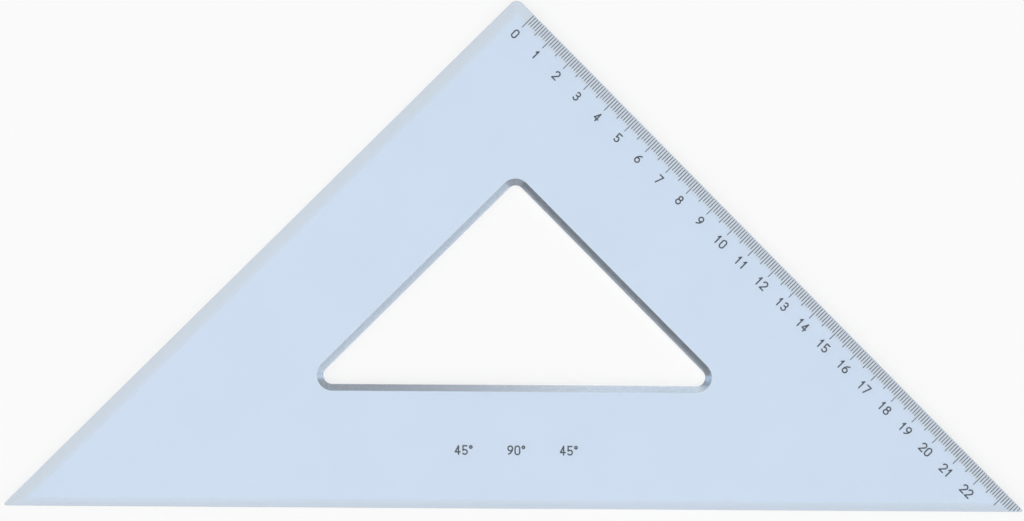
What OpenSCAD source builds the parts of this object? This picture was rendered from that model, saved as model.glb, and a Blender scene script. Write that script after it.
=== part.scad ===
// A 45 degree drafting triangle: a see-through moulded plate with a finger window, bevelled edges
// and a printed centimetre scale along one leg.
// The plate lies on its underside at z = 0. Its long edge runs along X and its right angle points to +Y.
// The origin is under the middle of the plate's box.

/* [Plate] */
// Long edge, between its sharp corners
hypotenuse = 350; // [300:1:450]
// Thickness of the plate
plate_t = 3; // [2.5:0.1:5]
// Rounding of the right-angled corner
apex_r = 3; // [0.5:0.1:5]
// Rounding of the two 45 degree tips
tip_r = 0.5; // [0.2:0.1:2]

/* [Drawing edges] */
// Width of the bevel under each leg, which keeps wet ink from creeping under the plate
leg_bevel_w = 4.6; // [1:0.1:6]
// Height of that bevel at the edge
leg_bevel_h = 1.2; // [0.4:0.05:2]
// Width of the bevel under the long edge
base_bevel_w = 2.8; // [1:0.1:6]
// Height of that bevel at the edge
base_bevel_h = 0.95; // [0.4:0.05:2]

/* [Window] */
// Frame width from each leg to the window
leg_band = 44.6; // [30:0.1:52]
// Frame width from the long edge to the window
base_band = 42.3; // [30:0.1:52]
// Corner radius of the window at the top face
window_r = 3; // [1:0.1:8]
// Width of the bevel under the window's edge, which takes a fingernail
window_bevel_w = 2.4; // [0.5:0.1:4]
// Height of that bevel
window_bevel_h = 2.4; // [0.5:0.1:2.4]

/* [Scale] */
// Distance between neighbouring strokes
stroke_pitch = 1; // [1:0.25:2]
// Zero stroke, measured along the leg from the sharp right-angled corner
zero_offset = 8.5; // [6:0.1:20]
// Least distance along the leg from a mark to the long edge
end_margin = 0.4; // [0.3:0.1:10]
// Gap between the leg's edge and the strokes
stroke_gap = 0.3; // [0.1:0.05:1]
// Length of a millimetre stroke
millimetre_stroke = 3.4; // [2:0.1:4.5]
// Length of a half-centimetre stroke
half_stroke = 4.5; // [3:0.1:5.5]
// Length of a centimetre stroke
centimetre_stroke = 5.6; // [4:0.1:8]
// Least length of a stroke near the tip, where the long edge cuts the strokes short
shortest_stroke = 0.8; // [0.5:0.1:2]
// Width of a stroke
stroke_w = 0.28; // [0.08:0.01:0.4]
// Thickness of the ink
ink_t = 0.04; // [0.02:0.01:0.1]

/* [Numerals] */
// Height of a digit
digit_h = 3.4; // [2.4:0.1:4]
// Width of a digit
digit_w = 2.1; // [1.5:0.05:2.4]
// Width of the line that draws a digit
pen = 0.5; // [0.2:0.02:0.56]
// Gap between neighbouring digits
digit_gap = 0.35; // [0.2:0.05:1]
// Gap between the centimetre strokes and the numerals
numeral_gap = 1.5; // [0.5:0.1:4]

/* [Angle values] */
// Distance between neighbouring angle values
angle_pitch = 18; // [12:0.5:24]
// Outer diameter of the degree ring
degree_d = 1.3; // [1.2:0.05:1.8]

/* [Hidden] */
$fn = 64;
ink_colour = "darkslategray";

// How far a cutting shape reaches past the face that it cuts
over = 1;
// Round corners stand this far proud of the straight sides that they join, so that the two cross
corner_proud = 0.004;
// Lines of a digit cross each other by this much, so that no two of them only touch
tuck = 0.012;
// The small rings of a digit share this much of their lines
ring_overlap = 0.06;

leg = hypotenuse / sqrt(2);
apex_cut = apex_r * (sqrt(2) - 1);
apex_y = (hypotenuse / 2 + apex_cut) / 2;
base_y = apex_y - hypotenuse / 2;

// Outward normals of the long edge, the right leg and the left leg
base_normal = [0, -1];
right_normal = [sqrt(0.5), sqrt(0.5)];
left_normal = [-sqrt(0.5), sqrt(0.5)];

// Scale: a numeral stands at every tenth stroke, and the numerals and the strokes go on while they fit on the plate
strokes_per_numeral = 10;
half_step = strokes_per_numeral / 2;
numeral_pitch = strokes_per_numeral * stroke_pitch;
numeral_row = stroke_gap + centimetre_stroke + numeral_gap + digit_h / 2;
numeral_reach = numeral_row + digit_h / 2 + digit_w + digit_gap / 2;
last_numeral = floor(last_mark(numeral_reach) / strokes_per_numeral);
last_stroke = last_mark(stroke_w / 2 + max(stroke_gap + shortest_stroke, tip_r * (1 + sqrt(2))));
centimetre_marks = [0 : strokes_per_numeral : last_stroke];
half_marks = [half_step : strokes_per_numeral : last_stroke];
millimetre_marks = [for (n = [0 : last_stroke]) if (n % half_step != 0) n];

// Middle of the flat band between the long edge and the window's bevel
angle_row = (base_band - window_bevel_w) / 2;

// Digits are drawn along the middle of their lines
line_h = digit_h - pen;
line_w = digit_w - pen;
bar_w = pen - 2 * tuck;
bowl_r = line_w / 2;
small_bowl_r = (line_h - 2 * bowl_r + ring_overlap) / 2;
bowl = [0, bowl_r];
high_bowl = [0, line_h - bowl_r];
small_bowl = [0, line_h - small_bowl_r];

// Last place on the scale for a mark that reaches so far in from the leg: the long edge lies at 45 degrees
function last_mark(reach) = floor((leg - zero_offset - end_margin - reach) / stroke_pitch);

// Length that a stroke has room for before the long edge
function stroke_room(mark) =
    leg - zero_offset - mark * stroke_pitch - stroke_w / 2 - end_margin - stroke_gap;

// Left, right and top corner of the triangle that lies inside the plate's legs and long edge
function inset(leg_in, base_in) =
    let (top = apex_y - leg_in * sqrt(2), low = base_y + base_in)
    [[low - top, low], [top - low, low], [0, top]];

// Point of a circle
function on_circle(centre, r, angle) = centre + r * [cos(angle), sin(angle)];

// Point of a digit: x runs from -1 at its left line to 1 at its right line, y from 0 to 1
function at(x, y) = [x * line_w / 2, y * line_h];

// Decimal digits of a whole number
function digits_of(n) = n < 10 ? [n] : concat(digits_of(floor(n / 10)), [n % 10]);

// Triangle with round corners, from the centres and radii of its left, right and top corner
module rounded_triangle(centres, radii) {
    polygon([
        centres[0] + radii[0] * base_normal,
        centres[1] + radii[1] * base_normal,
        centres[1] + radii[1] * right_normal,
        centres[2] + radii[2] * right_normal,
        centres[2] + radii[2] * left_normal,
        centres[0] + radii[0] * left_normal
    ]);
    for (i = [0 : 2])
        translate(centres[i])
            circle(radii[i] + corner_proud);
}

// Sweeps a profile from a to b: its x points to the right of the way, its y points up
module sweep(a, b, past = 0) {
    way = (b - a) / norm(b - a);
    translate(b + past * way)
        rotate(atan2(-way.x, way.y))
            rotate([90, 0, 0])
                linear_extrude(norm(b - a) + 2 * past)
                    children();
}

// Bevels under the three outer edges
module edge_bevels() {
    corners = inset(0, 0);
    widths = [base_bevel_w, leg_bevel_w, leg_bevel_w];
    heights = [base_bevel_h, leg_bevel_h, leg_bevel_h];
    for (i = [0 : 2])
        sweep(corners[i], corners[(i + 1) % 3], over)
            polygon([
                [-widths[i], -over],
                [-widths[i], 0],
                [over, heights[i] * (1 + over / widths[i])],
                [over, -over]
            ]);
}

// Half section of the window, from a line inside it out to its wall
module window_profile(inner, r) {
    polygon([
        [inner, -over],
        [r + window_bevel_w, -over],
        [r + window_bevel_w, 0],
        [r, window_bevel_h],
        [r, plate_t + over],
        [inner, plate_t + over]
    ]);
}

module window_opening() {
    centres = inset(leg_band + window_r, base_band + window_r);
    translate([0, 0, -over])
        linear_extrude(plate_t + 2 * over)
            polygon(centres);
    for (i = [0 : 2]) {
        translate(centres[i])
            rotate_extrude()
                window_profile(0, window_r + corner_proud);
        sweep(centres[i], centres[(i + 1) % 3])
            window_profile(-window_r / 2, window_r);
    }
}

module plate() {
    tips = inset(tip_r, tip_r);
    apex = inset(apex_r, apex_r)[2];
    color("lightsteelblue", 0.6)
        difference() {
            linear_extrude(plate_t)
                rounded_triangle([tips[0], tips[1], apex], [tip_r, tip_r, apex_r]);
            edge_bevels();
            window_opening();
        }
}

// Ink on the graduated leg: x runs down the leg from the sharp corner, y = 0 is the edge
module print_on_leg() {
    color(ink_colour)
        translate([0, apex_y, plate_t])
            rotate(-45)
                linear_extrude(ink_t)
                    children();
}

module ticks(marks, full_length) {
    print_on_leg()
        for (mark = marks) {
            length = min(full_length, stroke_room(mark));
            translate([zero_offset + mark * stroke_pitch - stroke_w / 2, -stroke_gap - length])
                square([stroke_w, length]);
        }
}

// Straight line of a digit
module bar(a, b) {
    translate(a)
        rotate(atan2(b.y - a.y, b.x - a.x))
            translate([0, -bar_w / 2])
                square([norm(b - a), bar_w]);
}

// Round ends and corners of a digit's lines
module caps(points) {
    for (p = points)
        translate(p)
            circle(d = pen);
}

// Joined straight lines with round ends and corners
module path(points) {
    for (i = [1 : len(points) - 1])
        bar(points[i - 1], points[i]);
    caps(points);
}

module ring(centre, r) {
    translate(centre)
        difference() {
            circle(r + bar_w / 2);
            circle(r - bar_w / 2);
        }
}

// Round line of a digit, counter-clockwise between two angles
module arc(centre, r, from, to) {
    reach = 2 * (r + pen);
    steps = 6;
    intersection() {
        ring(centre, r);
        polygon(concat(
            [centre],
            [for (i = [0 : steps]) on_circle(centre, reach, from + (to - from) * i / steps)]
        ));
    }
}

module zero() {
    side = bowl_r - tuck;
    arc(high_bowl, bowl_r, 0, 180);
    arc(bowl, bowl_r, 180, 360);
    for (x = [-side, side])
        bar([x, bowl_r - pen / 4], [x, line_h - bowl_r + pen / 4]);
}

module one() {
    path([at(-0.6, 0.74), at(0.1, 1), at(0.1, 0)]);
}

module two() {
    start = 170;
    end = -35;
    arc(high_bowl, bowl_r, end, start);
    caps([on_circle(high_bowl, bowl_r, start)]);
    path([on_circle(high_bowl, bowl_r, end), at(-1, 0), at(1, 0)]);
}

module three() {
    waist = line_h - 2 * small_bowl_r + ring_overlap / 2;
    arc(small_bowl, small_bowl_r, -95, 150);
    arc(bowl, bowl_r, -150, 95);
    bar([-bowl_r / 2, waist], [bowl_r / 4, waist]);
    caps([
        on_circle(small_bowl, small_bowl_r, 150),
        on_circle(bowl, bowl_r, -150),
        [-bowl_r / 2, waist]
    ]);
}

module four() {
    foot = at(0.35, 0);
    top = at(0.35, 1);
    left = at(-1, 0.28);
    right = at(1, 0.28);
    bar(foot, top);
    bar(top, left);
    bar(left, right);
    caps([foot, top, left, right]);
}

module five() {
    start = 140;
    end = -145;
    arc(bowl, bowl_r, end, start);
    caps([on_circle(bowl, bowl_r, end)]);
    path([on_circle(bowl, bowl_r, start), at(-0.8, 1), at(0.8, 1)]);
}

module six() {
    stem_r = line_h - bowl_r;
    stem = [stem_r - bowl_r + tuck, bowl_r];
    start = 112;
    ring(bowl, bowl_r);
    arc(stem, stem_r, start, 180);
    caps([on_circle(stem, stem_r, start)]);
}

module seven() {
    path([at(-1, 1), at(1, 1), at(-0.3, 0)]);
}

module eight() {
    ring(bowl, bowl_r);
    ring(small_bowl, small_bowl_r);
}

module nine() {
    translate([0, line_h])
        rotate(180)
            six();
}

// One digit, standing on y = 0 and centred on x = 0
module digit(d) {
    translate([0, pen / 2]) {
        if (d == 0) zero();
        if (d == 1) one();
        if (d == 2) two();
        if (d == 3) three();
        if (d == 4) four();
        if (d == 5) five();
        if (d == 6) six();
        if (d == 7) seven();
        if (d == 8) eight();
        if (d == 9) nine();
    }
}

// Whole number, centred on the origin
module number(n) {
    digits = digits_of(n);
    for (i = [0 : len(digits) - 1])
        translate([(i - (len(digits) - 1) / 2) * (digit_w + digit_gap), -digit_h / 2])
            digit(digits[i]);
}

module numeral(n) {
    print_on_leg()
        translate([zero_offset + n * numeral_pitch, -numeral_row])
            number(n);
}

// Angle value with its degree ring, in a row that is centred between the long edge and the window
module angle_value(degrees, place) {
    ring_x = digit_w + 1.5 * digit_gap + degree_d / 2;
    color(ink_colour)
        translate([place * angle_pitch, base_y + angle_row, plate_t])
            linear_extrude(ink_t) {
                number(degrees);
                ring([ring_x, digit_h / 2 - degree_d / 2], (degree_d - bar_w) / 2);
            }
}

plate();
ticks(millimetre_marks, millimetre_stroke);  // millimetre_ticks
ticks(half_marks, half_stroke);  // half_centimetre_ticks
ticks(centimetre_marks, centimetre_stroke);  // centimetre_ticks
for (n = [0 : last_numeral])
    numeral(n);
angle_value(45, -1);  // angle_left
angle_value(90, 0);  // angle_apex
angle_value(45, 1);  // angle_right
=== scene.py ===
"""Looks of the drafting triangle: see-through blue plastic and printed ink, on a pale floor."""

import math
from types import SimpleNamespace

import bmesh
import bpy
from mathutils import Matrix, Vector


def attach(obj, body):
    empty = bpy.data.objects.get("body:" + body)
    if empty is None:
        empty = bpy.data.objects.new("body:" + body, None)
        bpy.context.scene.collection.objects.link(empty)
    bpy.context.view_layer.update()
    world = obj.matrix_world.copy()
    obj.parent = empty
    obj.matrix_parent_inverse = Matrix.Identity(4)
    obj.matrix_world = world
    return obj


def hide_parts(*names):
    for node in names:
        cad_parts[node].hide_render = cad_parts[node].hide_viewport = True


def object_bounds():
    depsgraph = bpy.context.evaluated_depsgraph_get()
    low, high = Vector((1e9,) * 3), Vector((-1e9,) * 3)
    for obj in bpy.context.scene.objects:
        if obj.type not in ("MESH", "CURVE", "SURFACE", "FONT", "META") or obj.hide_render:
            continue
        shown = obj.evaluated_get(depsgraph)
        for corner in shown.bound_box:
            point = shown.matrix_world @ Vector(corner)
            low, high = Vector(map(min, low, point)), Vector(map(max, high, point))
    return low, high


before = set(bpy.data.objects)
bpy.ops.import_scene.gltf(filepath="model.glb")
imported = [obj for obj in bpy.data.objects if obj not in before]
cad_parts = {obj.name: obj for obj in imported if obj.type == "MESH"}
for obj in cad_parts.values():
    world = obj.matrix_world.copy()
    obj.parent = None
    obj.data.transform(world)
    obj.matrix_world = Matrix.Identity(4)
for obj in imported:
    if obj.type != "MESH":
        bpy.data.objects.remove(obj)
cad_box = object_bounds()

MM = 0.001
X_AXIS = (1, 0, 0)
Y_AXIS = (0, 1, 0)
Z_AXIS = (0, 0, 1)

# Camera: straight above the plate, turned as the photograph is
CAMERA_HEIGHT = 1500 * MM
FRAME_WIDTH = 350.6 * MM
FRAME_CENTRE = (-1.05 * MM, -1.93 * MM)
FRAME_TURN = math.radians(0.376)
SENSOR_WIDTH = 36

# Floor: a hair below the plate, so that the two faces don't coincide
FLOOR_GAP = 0.1 * MM
FLOOR_SIZE = 24000 * MM
FLOOR_COLOUR = (0.965, 0.965, 0.965, 1)
FLOOR_ROUGHNESS = 0.9
# Share of its plain colour that the floor shows in a shadow too
SHADOW_LIFT = 0.8

# Light tent: brightness of its crown and its sides, and a dark card that covers one side of it
CROWN = 1.93
TOWARDS_CROWN = (-0.2, -0.22, 0.955)
CROWN_NARROWNESS = 2
SIDES = 0.5
TOWARDS_CARD = (0.707, 0.707, 0)
CARD_STARTS = 0.1
CARD_FULL = 0.5
CARD_LEVEL = 0.1
TENT_COLOUR = (1, 1, 1, 1)

# Plastic: the tint of each kind of surface that light passes, and of the body between them
FACE_TINT = (0.624, 0.729, 0.863, 1)
CLOUDING = 0.985
# Painted shade: the bevels' grey stands partly for a frosted finish and partly for the shade that falls
# under the outer bevels
BEVEL_FROST_AND_SHADE = (0.6, 0.638, 0.668, 1)
WINDOW_TINT = (0.86, 0.885, 0.925, 1)
# Painted shade: the window's bevel is tinted this dark at the sill's left end and round its top corner, and
# clear at the sill's right end
PAINTED_SHADE_TINT = (0.2, 0.206, 0.22, 1)
CLEAR_TINT = (1, 1, 1, 1)
# Painted shade: the walls are darkened in place of the shade that makes the plate's edges and the window's
# edges dark
WALL_SHADE_TINT = (0.68, 0.7, 0.72, 1)
ABSORPTION_COLOUR = (0.35, 0.68, 0.97, 1)
ABSORPTION_DENSITY = 5
REFRACTION = 1.49

# How much of their frosted tint, which holds painted shade too, the bevels take: on the legs from the edge
# inwards, and on the long edge
LEG_FROST_AND_SHADE = (1, 0.45)
LEG_FADE = (2.6 * MM, 4.6 * MM)
LONG_FROST_AND_SHADE = 0.5

# Roughness of the polished faces, of the bevels and walls, and what the sill and its right end add to it
POLISH = (0.03, 0.09)
SATIN = (0.125, 0.145)
SILL_DULLING = 0.7
CORNER_DULLING = 0.35

# Light that enters by an edge runs a long way between the two faces
PLATE_BOUNCES = 64

# Where one kind of surface gives way to the next, by how far its normal points up, or along the plate
FACE_TO_BEVEL = (0.995, 0.975)
BEVEL_TO_WINDOW = (0.9, 0.75)
WINDOW_TO_WALL = (0.6, 0.2)
LEG_TO_LONG_BEVEL = (0.22, 0.3)
WINDOW_TO_SILL = (0.55, 0.68)

# The legs would meet in a sharp corner on the Y axis
LONG_EDGE = 350 * MM
LEG_CORNER_Y = cad_box[0].y + LONG_EDGE / 2

# The sill is the window's bevel along the long edge, and runs on round the window's left corner. Painted
# shade darkens the sill towards its left end, where its roughness is dulled too
SILL_SPAN = (-65 * MM, 55 * MM)
SILL_CURVE = 1.8
LEFT_CORNER_X = (-60 * MM, -63 * MM)
LEFT_CORNER_Y = (-41.3 * MM, -43.3 * MM)
RIGHT_CORNER_X = (60 * MM, 63 * MM)
RIGHT_CORNER_Y = (-43.3 * MM, -45.3 * MM)
# Painted shade darkens the window's bevel above this height, round its top corner
TOP_CORNER_Y = (22 * MM, 24 * MM)

# Moulded edges: every sharp edge of the plate is rounded over a little
EDGE_ROUND = 0.05 * MM
EDGE_SEGMENTS = 3
ROUND_PROFILE = 0.5
WELD_DISTANCE = 0.002 * MM
FLAT_ANGLE = math.radians(0.5)
ROUNDED_ANGLE = math.radians(30)
SHARP_ANGLE = math.radians(15)
LARGE_FACES_FIRST = 100

# Ink
INK_DARK = (0.035, 0.042, 0.06, 1)
INK_LIGHT = (0.075, 0.088, 0.115, 1)
INK_ROUGHNESS = (0.42, 0.62)

# Noises: waves per metre and levels of detail, and the stretches of a noise's range that are used
CLOUDS = (30, 3)
HAZE = (45, 4)
FROST = (9000, 2)
FLOW = (60, 1)
INK_PATCHES = (1800, 3)
INK_GRAIN = (6000, 2)
MIDDLE_STRETCH = (0.3, 0.7)
WIDE_STRETCH = (0.2, 0.8)
UPPER_STRETCH = (0.45, 0.75)

# Relief: its strength and its height
FLOW_RELIEF = (0.04, 0.2 * MM)
INK_RELIEF = (0.2, 0.01 * MM)

# A Mix node has its colour sockets after those for numbers and vectors
COLOUR_INPUTS = (6, 7)
COLOUR_OUTPUT = 2


def add_node(tree, kind, **values):
    """Adds a node and sets its properties."""
    node = tree.nodes.new(kind)
    for name, value in values.items():
        setattr(node, name, value)
    return node


def feed(tree, value, socket):
    """Links a socket to another node's output, or sets it to a plain value."""
    if isinstance(value, bpy.types.NodeSocket):
        tree.links.new(value, socket)
    else:
        socket.default_value = value


def new_material(name):
    """Makes a material, and gives its nodes and its main shader too."""
    material = bpy.data.materials.new(name)
    material.use_nodes = True
    tree = material.node_tree
    return material, tree, tree.nodes["Principled BSDF"]


def place_on_object(tree):
    """Place of a point on the object, in metres."""
    return add_node(tree, "ShaderNodeTexCoord").outputs["Object"]


def noise(tree, place, waves, detail):
    """Noise of so many waves per metre."""
    texture = add_node(tree, "ShaderNodeTexNoise")
    texture.inputs["Scale"].default_value = waves
    texture.inputs["Detail"].default_value = detail
    tree.links.new(place, texture.inputs["Vector"])
    return texture.outputs["Fac"]


def spread(tree, source, limits, results=(0, 1)):
    """Maps a value from one range to another and holds it inside."""
    node = add_node(tree, "ShaderNodeMapRange")
    tree.links.new(source, node.inputs["Value"])
    node.inputs["From Min"].default_value, node.inputs["From Max"].default_value = limits
    node.inputs["To Min"].default_value, node.inputs["To Max"].default_value = results
    return node.outputs["Result"]


def combine(tree, operation, first, second=0):
    """Does sums with two values, or with one where the operation takes only one."""
    node = add_node(tree, "ShaderNodeMath", operation=operation)
    feed(tree, first, node.inputs[0])
    feed(tree, second, node.inputs[1])
    return node.outputs["Value"]


def product(tree, first, second):
    return combine(tree, "MULTIPLY", first, second)


def along(tree, vector, axis):
    """How far a vector reaches along an axis."""
    node = add_node(tree, "ShaderNodeVectorMath", operation="DOT_PRODUCT")
    tree.links.new(vector, node.inputs[0])
    node.inputs[1].default_value = axis
    return node.outputs["Value"]


def mix_colours(tree, factor, first, second):
    """Mixes two colours, each a plain value or another node's output."""
    node = add_node(tree, "ShaderNodeMix", data_type="RGBA")
    tree.links.new(factor, node.inputs["Factor"])
    for index, value in zip(COLOUR_INPUTS, (first, second)):
        feed(tree, value, node.inputs[index])
    return node.outputs[COLOUR_OUTPUT]


def relief(tree, source, strength, height):
    """Fine relief of a surface, as its normal."""
    node = add_node(tree, "ShaderNodeBump")
    node.inputs["Strength"].default_value = strength
    node.inputs["Distance"].default_value = height
    tree.links.new(source, node.inputs["Height"])
    return node.outputs["Normal"]


def plate_surfaces(tree, place):
    """Where each kind of the plate's surface lies, and how far a point is from a leg or along the sill."""
    normal = add_node(tree, "ShaderNodeNewGeometry").outputs["True Normal"]
    # The normal turns round where light meets a surface from inside, so only its size along an axis counts
    upright = combine(tree, "ABSOLUTE", along(tree, normal, Z_AXIS))
    sideways = combine(tree, "ABSOLUTE", along(tree, normal, Y_AXIS))
    x = along(tree, place, X_AXIS)
    y = along(tree, place, Y_AXIS)

    steep = spread(tree, upright, BEVEL_TO_WINDOW)
    wall = spread(tree, upright, WINDOW_TO_WALL)
    window_bevel = combine(tree, "SUBTRACT", steep, wall)
    left_corner = product(tree, spread(tree, x, LEFT_CORNER_X), spread(tree, y, LEFT_CORNER_Y))
    right_corner = product(tree, spread(tree, x, RIGHT_CORNER_X), spread(tree, y, RIGHT_CORNER_Y))
    sill = combine(tree, "MAXIMUM", spread(tree, sideways, WINDOW_TO_SILL), left_corner)

    below_corner = combine(tree, "ADD", combine(tree, "ABSOLUTE", x), y)
    below_corner = combine(tree, "SUBTRACT", LEG_CORNER_Y, below_corner)
    return SimpleNamespace(
        off_face=spread(tree, upright, FACE_TO_BEVEL),
        long_bevel=spread(tree, sideways, LEG_TO_LONG_BEVEL),
        steep=steep,
        wall=wall,
        sill=product(tree, window_bevel, sill),
        right_corner=product(tree, window_bevel, right_corner),
        shaded_top_corner=product(tree, window_bevel, spread(tree, y, TOP_CORNER_Y)),
        from_leg=product(tree, below_corner, math.sqrt(0.5)),
        along_sill=combine(tree, "POWER", spread(tree, x, SILL_SPAN), SILL_CURVE),
    )


def plate_tint(tree, place, surfaces):
    """Cloudy blue faces, frosted bevels that also hold painted shade, strongest near the legs' edges, walls
    darkened by painted shade, and a window edge with painted shade that is darkest at its left and top
    corners.
    """
    cloudy = (*[channel * CLOUDING for channel in FACE_TINT[:3]], 1)
    tint = mix_colours(tree, spread(tree, noise(tree, place, *CLOUDS), MIDDLE_STRETCH), cloudy, FACE_TINT)

    # Painted shade: the outer bevels take a frosted grey that also stands for the shade under them,
    # strongest near the legs' edges
    leg_bevel = combine(tree, "SUBTRACT", 1, surfaces.long_bevel)
    leg_frost_and_shade = product(tree, leg_bevel, spread(tree, surfaces.from_leg, LEG_FADE, LEG_FROST_AND_SHADE))
    long_frost_and_shade = product(tree, surfaces.long_bevel, LONG_FROST_AND_SHADE)
    frost_and_shade = combine(tree, "ADD", leg_frost_and_shade, long_frost_and_shade)
    tint = mix_colours(tree, product(tree, surfaces.off_face, frost_and_shade), tint, BEVEL_FROST_AND_SHADE)

    # Painted shade on the window's bevel: along the sill, darkest at its left end, and round the top corner
    sill_painted_shade = mix_colours(tree, surfaces.along_sill, PAINTED_SHADE_TINT, CLEAR_TINT)
    window_tint = mix_colours(tree, surfaces.sill, WINDOW_TINT, sill_painted_shade)
    tint = mix_colours(tree, surfaces.steep, tint, window_tint)
    tint = mix_colours(tree, surfaces.shaded_top_corner, tint, PAINTED_SHADE_TINT)
    # Painted shade on the walls
    return mix_colours(tree, surfaces.wall, tint, WALL_SHADE_TINT)


def plate_roughness(tree, place, surfaces):
    """Polished faces, satin bevels and walls, and a sill that is dulled towards its left."""
    polish = spread(tree, noise(tree, place, *HAZE), UPPER_STRETCH, POLISH)
    satin = spread(tree, noise(tree, place, *FROST), WIDE_STRETCH, SATIN)
    dulled_sill = product(tree, surfaces.sill, spread(tree, surfaces.along_sill, (0, 1), (SILL_DULLING, 0)))
    dulled_corner = product(tree, surfaces.right_corner, CORNER_DULLING)
    dulled = combine(tree, "MAXIMUM", dulled_sill, dulled_corner)
    face = product(tree, polish, combine(tree, "SUBTRACT", 1, surfaces.off_face))
    edge = product(tree, combine(tree, "ADD", satin, dulled), surfaces.off_face)
    return combine(tree, "ADD", face, edge)


def clear_plastic():
    """Blue see-through plastic, polished on its two faces and satin on its bevels and walls, with painted
    shade on its bevels, walls and window edge.
    """
    material, tree, shader = new_material("clear_blue_plastic")
    place = place_on_object(tree)
    surfaces = plate_surfaces(tree, place)
    tree.links.new(plate_tint(tree, place, surfaces), shader.inputs["Base Color"])
    tree.links.new(plate_roughness(tree, place, surfaces), shader.inputs["Roughness"])
    flow = noise(tree, place, *FLOW)
    tree.links.new(relief(tree, flow, *FLOW_RELIEF), shader.inputs["Normal"])

    shader.inputs["IOR"].default_value = REFRACTION
    shader.inputs["Transmission Weight"].default_value = 1
    absorption = add_node(tree, "ShaderNodeVolumeAbsorption")
    absorption.inputs["Color"].default_value = ABSORPTION_COLOUR
    absorption.inputs["Density"].default_value = ABSORPTION_DENSITY
    tree.links.new(absorption.outputs["Volume"], tree.nodes["Material Output"].inputs["Volume"])
    return material


def printing_ink():
    """Dark screen-printed ink, a little uneven and matt."""
    material, tree, shader = new_material("printing_ink")
    place = place_on_object(tree)
    patches = spread(tree, noise(tree, place, *INK_PATCHES), MIDDLE_STRETCH)
    tree.links.new(mix_colours(tree, patches, INK_DARK, INK_LIGHT), shader.inputs["Base Color"])
    grain = noise(tree, place, *INK_GRAIN)
    tree.links.new(spread(tree, grain, WIDE_STRETCH, INK_ROUGHNESS), shader.inputs["Roughness"])
    tree.links.new(relief(tree, grain, *INK_RELIEF), shader.inputs["Normal"])
    return material


def rounded_mesh():
    """The plate's mesh with its sharp edges rounded over."""
    mesh = bmesh.new()
    mesh.from_mesh(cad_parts["plate"].data)
    bmesh.ops.remove_doubles(mesh, verts=mesh.verts, dist=WELD_DISTANCE)
    bmesh.ops.dissolve_limit(mesh, angle_limit=FLAT_ANGLE, verts=mesh.verts, edges=mesh.edges)
    sharp = [edge for edge in mesh.edges if edge.calc_face_angle(0) > ROUNDED_ANGLE]
    bmesh.ops.bevel(mesh, geom=sharp, offset=EDGE_ROUND, offset_type="OFFSET", segments=EDGE_SEGMENTS,
                    profile=ROUND_PROFILE, affect="EDGES", clamp_overlap=True)
    for face in mesh.faces:
        face.smooth = True
    for edge in mesh.edges:
        edge.smooth = edge.calc_face_angle(0) < SHARP_ANGLE
    data = bpy.data.meshes.new("plate_moulding")
    mesh.to_mesh(data)
    mesh.free()
    return data


def rounded_plate():
    """The moulded plate, in place of its node."""
    data = rounded_mesh()
    data.materials.append(clear_plastic())
    piece = bpy.data.objects.new("plate_moulding", data)
    bpy.context.scene.collection.objects.link(piece)
    normals = piece.modifiers.new("weighted_normals", "WEIGHTED_NORMAL")
    normals.keep_sharp = True
    normals.weight = LARGE_FACES_FIRST
    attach(piece, "root")
    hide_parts("plate")


def printed_marks():
    """Gives every printed mark its ink."""
    ink = printing_ink()
    for name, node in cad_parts.items():
        if name != "plate":
            node.material_slots[0].material = ink


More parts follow.
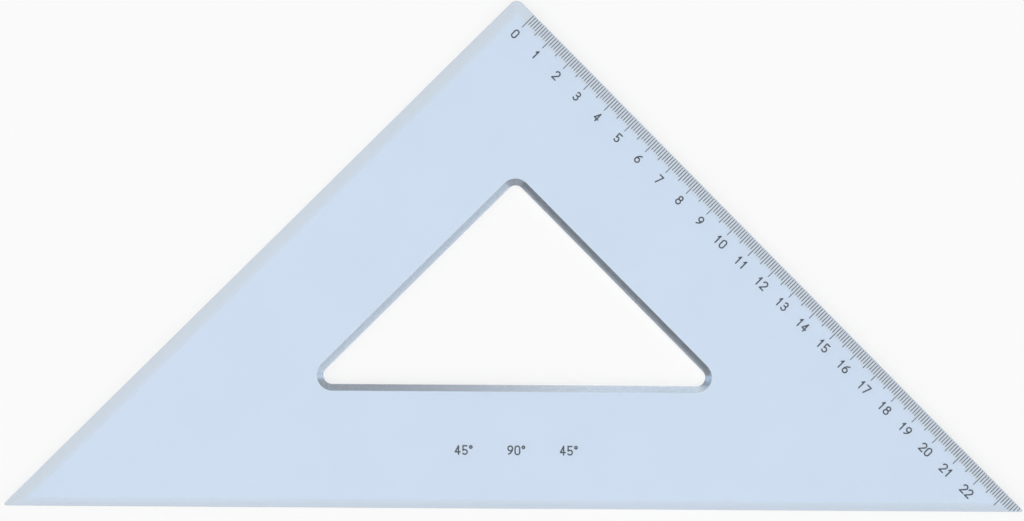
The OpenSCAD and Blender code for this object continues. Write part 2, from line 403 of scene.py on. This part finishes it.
def pale_floor():
    """Material of the floor: pale to the camera, in reflections and through plastic, with a soft shadow."""
    material, tree, shader = new_material("pale_floor")
    shader.inputs["Base Color"].default_value = FLOOR_COLOUR
    shader.inputs["Roughness"].default_value = FLOOR_ROUGHNESS
    shader.inputs["Specular IOR Level"].default_value = 0
    glow = add_node(tree, "ShaderNodeEmission")
    glow.inputs["Color"].default_value = FLOOR_COLOUR
    path = add_node(tree, "ShaderNodeLightPath")
    seen = combine(tree, "MAXIMUM", path.outputs["Is Camera Ray"], path.outputs["Is Glossy Ray"])
    seen = combine(tree, "MAXIMUM", seen, path.outputs["Is Transmission Ray"])
    mix = add_node(tree, "ShaderNodeMixShader")
    tree.links.new(product(tree, seen, SHADOW_LIFT), mix.inputs["Fac"])
    tree.links.new(shader.outputs["BSDF"], mix.inputs[1])
    tree.links.new(glow.outputs["Emission"], mix.inputs[2])
    tree.links.new(mix.outputs["Shader"], tree.nodes["Material Output"].inputs["Surface"])
    return material


def floor():
    """Wide flat floor under the plate."""
    half = FLOOR_SIZE / 2
    corners = [(-half, -half), (half, -half), (half, half), (-half, half)]
    data = bpy.data.meshes.new("floor")
    data.from_pydata([(x, y, -FLOOR_GAP) for x, y in corners], [], [(0, 1, 2, 3)])
    data.materials.append(pale_floor())
    plane = bpy.data.objects.new("floor", data)
    bpy.context.scene.collection.objects.link(plane)


def light_tent():
    """A soft white tent, brightest at its crown, with a dark card on one side."""
    world = bpy.data.worlds.new("light_tent")
    bpy.context.scene.world = world
    world.use_nodes = True
    tree = world.node_tree
    direction = add_node(tree, "ShaderNodeTexCoord").outputs["Generated"]
    near_crown = spread(tree, along(tree, direction, TOWARDS_CROWN), (0, 1))
    tent = spread(tree, combine(tree, "POWER", near_crown, CROWN_NARROWNESS), (0, 1), (SIDES, CROWN))
    card = spread(tree, along(tree, direction, TOWARDS_CARD), (CARD_STARTS, CARD_FULL), (1, CARD_LEVEL))
    background = tree.nodes["Background"]
    background.inputs["Color"].default_value = TENT_COLOUR
    tree.links.new(product(tree, tent, card), background.inputs["Strength"])


def camera():
    """Camera that looks straight down on the plate."""
    data = bpy.data.cameras.new("camera")
    data.sensor_width = SENSOR_WIDTH
    data.lens = SENSOR_WIDTH * CAMERA_HEIGHT / FRAME_WIDTH
    eye = bpy.data.objects.new("camera", data)
    bpy.context.scene.collection.objects.link(eye)
    eye.location = (*FRAME_CENTRE, cad_box[1].z + CAMERA_HEIGHT)
    eye.rotation_euler = (0, 0, FRAME_TURN)
    bpy.context.scene.camera = eye


def light_paths():
    """Lets light pass the plate as sharply and as often as it passes real plastic."""
    cycles = bpy.context.scene.cycles
    cycles.blur_glossy = 0
    cycles.max_bounces = PLATE_BOUNCES
    cycles.glossy_bounces = PLATE_BOUNCES
    cycles.transmission_bounces = PLATE_BOUNCES


bpy.context.scene.view_settings.view_transform = "Standard"
light_paths()
camera()
light_tent()
floor()
rounded_plate()
printed_marks()
